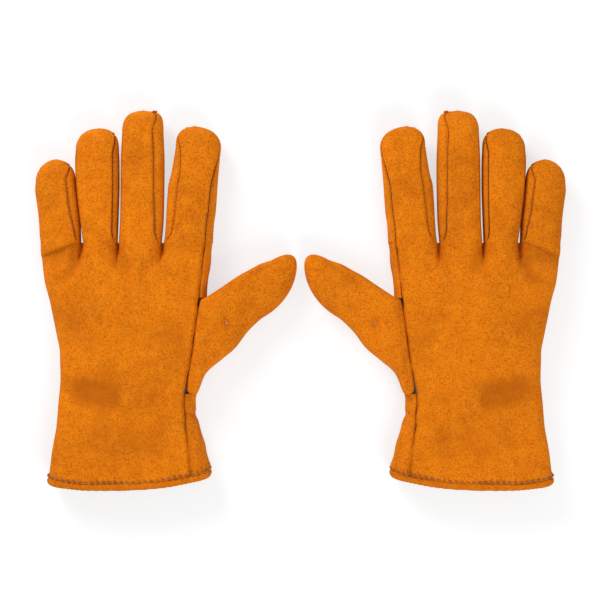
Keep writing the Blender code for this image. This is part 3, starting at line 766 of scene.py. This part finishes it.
def make_stitches(side, prefix):
    """Lock stitches round the cuff just above the hem, each a short piece of twisted thread."""
    pitch, count = 4.4, 800
    ring = hem_line(count, 0.15, -1.3)
    steps = np.linalg.norm(np.roll(ring, -1, 0) - ring, axis=1)
    reach = np.concatenate([[0], np.cumsum(steps)])
    total = reach[-1]
    number = int(total / pitch)
    verts, faces = [], []
    for i in range(number):
        at = (i + np.linspace(0.12, 0.82, 6)) * total / number
        pts = np.stack([np.interp(at, reach, np.append(ring[:, k], ring[0, k])) for k in range(3)], -1)
        lift = 0.55 * np.sin(np.linspace(0, math.pi, 6)) - 0.35
        tangent = np.gradient(pts, axis=0)
        tangent /= np.linalg.norm(tangent, axis=1, keepdims=True)
        outward = np.cross(tangent, np.array([0.0, 1.0, 0.0]))
        if (outward * (pts - np.array([66.0, 0, 12.5])))[:, [0, 2]].sum() < 0:
            outward = -outward
        pts = pts + outward * lift[:, None]
        base = len(verts)
        for j, p in enumerate(pts):
            thick = 0.55 if 0 < j < 5 else 0.3
            for k in range(6):
                turn = k * TAU / 6
                verts.append(p + thick * (math.cos(turn) * outward[j] + math.sin(turn) * np.array([0, 1, 0])))
        for j in range(5):
            for k in range(6):
                a, b = base + j * 6 + k, base + j * 6 + (k + 1) % 6
                faces.append((a, b, b + 6, a + 6))
    verts, faces = np.array(verts), np.array(faces)
    verts[:, 2] = np.maximum(verts[:, 2], 0.05)
    add_piece(
        f"{prefix}_hem_stitches", side, (verts, faces, np.zeros(len(verts))), "thread",
        [f"{prefix}_hem_thread"], f"{prefix}_hand",
    )


# ---------------------------------------------------------------- materials
def link(tree, a, b):
    tree.links.new(a, b)


def node(tree, kind, **values):
    made_node = tree.nodes.new(kind)
    for key, value in values.items():
        if hasattr(made_node, key):
            setattr(made_node, key, value)
        else:
            made_node.inputs[key.replace("_", " ")].default_value = value
    return made_node


def ramp(tree, source, stops):
    found = node(tree, "ShaderNodeValToRGB")
    while len(found.color_ramp.elements) < len(stops):
        found.color_ramp.elements.new(0.5)
    for element, (place, colour) in zip(found.color_ramp.elements, stops):
        element.position = place
        element.color = colour if len(colour) == 4 else (*colour, 1)
    link(tree, source, found.inputs["Fac"])
    return found.outputs["Color"]


def mix(tree, factor, a, b, blend="MIX"):
    found = node(tree, "ShaderNodeMix", data_type="RGBA", blend_type=blend)
    for socket, value in ((found.inputs[0], factor), (found.inputs[6], a), (found.inputs[7], b)):
        if hasattr(value, "is_linked"):
            link(tree, value, socket)
        elif isinstance(value, (int, float)):
            socket.default_value = value
        else:
            socket.default_value = (*value, 1)
    return found.outputs[2]


def suede_group():
    """Colour and relief of split leather: blotches, nap and fibres, and the darkening from the seam attribute, which
    is dust and painted shade along the seams and painted shade in the creases.
    """
    group = bpy.data.node_groups.new("Split leather", "ShaderNodeTree")
    for name, kind in (("Base", "NodeSocketColor"), ("Dark", "NodeSocketColor"), ("Light", "NodeSocketColor")):
        group.interface.new_socket(name, in_out="INPUT", socket_type=kind)
    group.interface.new_socket("Seam", in_out="INPUT", socket_type="NodeSocketFloat")
    group.interface.new_socket("Colour", in_out="OUTPUT", socket_type="NodeSocketColor")
    group.interface.new_socket("Relief", in_out="OUTPUT", socket_type="NodeSocketVector")
    start, end = node(group, "NodeGroupInput"), node(group, "NodeGroupOutput")
    where = node(group, "ShaderNodeTexCoord").outputs["Object"]
    fields = []
    for scale, detail, rough, warp in ((26, 4, 0.6, 0.4), (120, 5, 0.62, 0.3), (680, 3, 0.6, 0.5), (1600, 2, 0.6, 0)):
        found = node(group, "ShaderNodeTexNoise", Scale=scale, Detail=detail, Roughness=rough, Distortion=warp)
        link(group, where, found.inputs["Vector"])
        fields.append(found.outputs["Fac"])
    dark = ramp(group, fields[0], [(0.36, (1, 1, 1)), (0.60, (0, 0, 0))])
    colour = mix(group, 0.0, start.outputs["Base"], start.outputs["Dark"])
    link(group, scaled(group, dark, 0.30), colour.node.inputs[0])
    patches = ramp(group, fields[1], [(0.44, (0, 0, 0)), (0.66, (1, 1, 1))])
    lighter = mix(group, 0.0, colour, start.outputs["Light"])
    link(group, scaled(group, patches, 0.40), lighter.node.inputs[0])
    nap = ramp(group, fields[2], [(0.36, (0.68, 0.65, 0.62)), (0.5, (0.97, 0.97, 0.97)), (0.64, (1.0, 1.0, 1.0))])
    napped = mix(group, 1.0, lighter, nap, "MULTIPLY")
    fibres = ramp(group, fields[3], [(0.34, (0.75, 0.73, 0.70)), (0.62, (1, 1, 1))])
    speckled = mix(group, 1.0, napped, fibres, "MULTIPLY")
    # Darkening towards Dark by the seam attribute: dust and painted shade along the seams, painted shade in the
    # creases.
    seams = mix(group, 0.0, speckled, start.outputs["Dark"])
    link(group, scaled(group, start.outputs["Seam"], 0.62), seams.node.inputs[0])
    link(group, seams, end.inputs["Colour"])
    height = node(group, "ShaderNodeMath", operation="ADD")
    link(group, fields[2], height.inputs[0])
    link(group, scaled(group, fields[3], 0.5), height.inputs[1])
    bump = node(group, "ShaderNodeBump", Strength=0.9, Distance=0.0009)
    link(group, height.outputs[0], bump.inputs["Height"])
    soft = node(group, "ShaderNodeBump", Strength=0.5, Distance=0.0016)
    link(group, fields[1], soft.inputs["Height"])
    link(group, bump.outputs["Normal"], soft.inputs["Normal"])
    link(group, soft.outputs["Normal"], end.inputs["Relief"])
    return group


def scaled(tree, source, amount):
    found = node(tree, "ShaderNodeMath", operation="MULTIPLY")
    found.inputs[1].default_value = amount
    link(tree, source, found.inputs[0])
    return found.outputs[0]


def leather_look(name, base, dark, light, group):
    look = bpy.data.materials.new(name)
    look.use_nodes = True
    tree = look.node_tree
    shader = tree.nodes["Principled BSDF"]
    skin = node(tree, "ShaderNodeGroup", node_tree=group)
    for socket, value in (("Base", base), ("Dark", dark), ("Light", light)):
        skin.inputs[socket].default_value = (*value, 1)
    # The seam attribute darkens the colour: dust and painted shade at the seams, painted shade in the creases.
    seam = node(tree, "ShaderNodeAttribute", attribute_name="seam")
    link(tree, seam.outputs["Fac"], skin.inputs["Seam"])
    link(tree, skin.outputs["Colour"], shader.inputs["Base Color"])
    link(tree, skin.outputs["Relief"], shader.inputs["Normal"])
    shader.inputs["Roughness"].default_value = 0.88
    shader.inputs["Specular IOR Level"].default_value = 0.08
    shader.inputs["Sheen Weight"].default_value = 0.06
    shader.inputs["Sheen Roughness"].default_value = 0.55
    shader.inputs["Sheen Tint"].default_value = (1.0, 0.5, 0.1, 1)
    return look


def cloth_look(name, base, dark, scale, woven):
    look = bpy.data.materials.new(name)
    look.use_nodes = True
    tree = look.node_tree
    shader = tree.nodes["Principled BSDF"]
    where = node(tree, "ShaderNodeTexCoord").outputs["Object"]
    fuzz = node(tree, "ShaderNodeTexNoise", Scale=scale, Detail=5, Roughness=0.7)
    link(tree, where, fuzz.inputs["Vector"])
    height = fuzz.outputs["Fac"]
    if woven:
        threads = []
        for direction in ("X", "Y"):
            wave = node(tree, "ShaderNodeTexWave", Scale=woven, Distortion=0.6)
            wave.bands_direction = direction
            link(tree, where, wave.inputs["Vector"])
            threads.append(wave.outputs["Fac"])
        weave = node(tree, "ShaderNodeMath", operation="MULTIPLY")
        link(tree, threads[0], weave.inputs[0])
        link(tree, threads[1], weave.inputs[1])
        both = node(tree, "ShaderNodeMath", operation="ADD")
        link(tree, weave.outputs[0], both.inputs[0])
        link(tree, scaled(tree, height, 0.5), both.inputs[1])
        height = both.outputs[0]
    colour = ramp(tree, height, [(0.3, dark), (0.75, base)])
    link(tree, colour, shader.inputs["Base Color"])
    bump = node(tree, "ShaderNodeBump", Strength=0.6, Distance=0.0008)
    link(tree, height, bump.inputs["Height"])
    link(tree, bump.outputs["Normal"], shader.inputs["Normal"])
    shader.inputs["Roughness"].default_value = 0.95
    shader.inputs["Sheen Weight"].default_value = 0.3
    return look


suede = suede_group()
LOOKS = {
    "leather": leather_look(
        "Golden split leather", (0.84, 0.212, 0.003), (0.42, 0.095, 0.002), (0.98, 0.300, 0.006), suede
    ),
    # Painted light: the side strips get a lighter copy of the same leather, standing in for the light that they catch.
    "strip": leather_look(
        "Side strip leather", (0.90, 0.240, 0.004), (0.45, 0.100, 0.002), (1.0, 0.330, 0.010), suede
    ),
    "fleece": cloth_look("Cotton fleece", (0.78, 0.74, 0.64), (0.55, 0.50, 0.40), 700, None),
    "canvas": cloth_look("Cuff canvas", (0.72, 0.67, 0.54), (0.42, 0.37, 0.27), 900, 260),
    "thread": cloth_look("Golden thread", (0.34, 0.12, 0.012), (0.16, 0.05, 0.004), 1800, None),
}


# ---------------------------------------------------------------- the pair
for prefix, side in SIDES.items():
    make_hand(side, prefix)
    make_thumb(side, prefix)
    for name in FINGERS:
        make_finger(side, prefix, name)
    make_linings(side, prefix)
    make_hem(side, prefix)
    make_stitches(side, prefix)
# The side strips are the same leather painted lighter, so their finish is plain leather.
for obj in made:
    if obj.get("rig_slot") == "strip":
        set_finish(obj, "leather")


# ---------------------------------------------------------------- studio
def make_floor():
    mesh = bpy.data.meshes.new("floor")
    mesh.from_pydata([(-4, -4, 0), (4, -4, 0), (4, 4, 0), (-4, 4, 0)], [], [(0, 1, 2, 3)])
    floor = bpy.data.objects.new("floor", mesh)
    look = bpy.data.materials.new("Pale floor")
    look.use_nodes = True
    shader = look.node_tree.nodes["Principled BSDF"]
    shader.inputs["Base Color"].default_value = (0.86, 0.86, 0.86, 1)
    shader.inputs["Roughness"].default_value = 0.8
    tree = look.node_tree
    lift, seen = node(tree, "ShaderNodeEmission", Strength=1.05), node(tree, "ShaderNodeLightPath")
    blend = node(tree, "ShaderNodeMixShader")
    link(tree, scaled(tree, seen.outputs["Is Camera Ray"], 0.62), blend.inputs[0])
    link(tree, shader.outputs[0], blend.inputs[1])
    link(tree, lift.outputs[0], blend.inputs[2])
    link(tree, blend.outputs[0], tree.nodes["Material Output"].inputs["Surface"])
    mesh.materials.append(look)
    bpy.context.scene.collection.objects.link(floor)
    floor.location.z = -0.0002


def make_light(name, place, size, power):
    data = bpy.data.lights.new(name, "AREA")
    data.size = size
    data.energy = power
    lamp = bpy.data.objects.new(name, data)
    lamp.location = place
    lamp.rotation_euler = (-Vector(place)).to_track_quat("-Z", "Y").to_euler()
    bpy.context.scene.collection.objects.link(lamp)


def make_world():
    world = bpy.data.worlds.new("Studio")
    world.use_nodes = True
    world.node_tree.nodes["Background"].inputs["Color"].default_value = (1, 1, 1, 1)
    world.node_tree.nodes["Background"].inputs["Strength"].default_value = 0.58
    bpy.context.scene.world = world


def make_camera():
    data = bpy.data.cameras.new("overhead")
    data.lens = 85
    data.sensor_width = 36
    camera = bpy.data.objects.new("overhead", data)
    width = 0.450
    camera.location = (-0.0004, 0.0, 85 / 36 * width + 0.0115)
    bpy.context.scene.collection.objects.link(camera)
    bpy.context.scene.camera = camera


make_floor()
make_light("softbox_top", (-0.9, 1.3, 0.9), 0.8, 24)
make_light("softbox_low", (0.6, -1.5, 1.1), 0.9, 21)
make_world()
make_camera()
scene = bpy.context.scene
scene.view_settings.view_transform = "Standard"
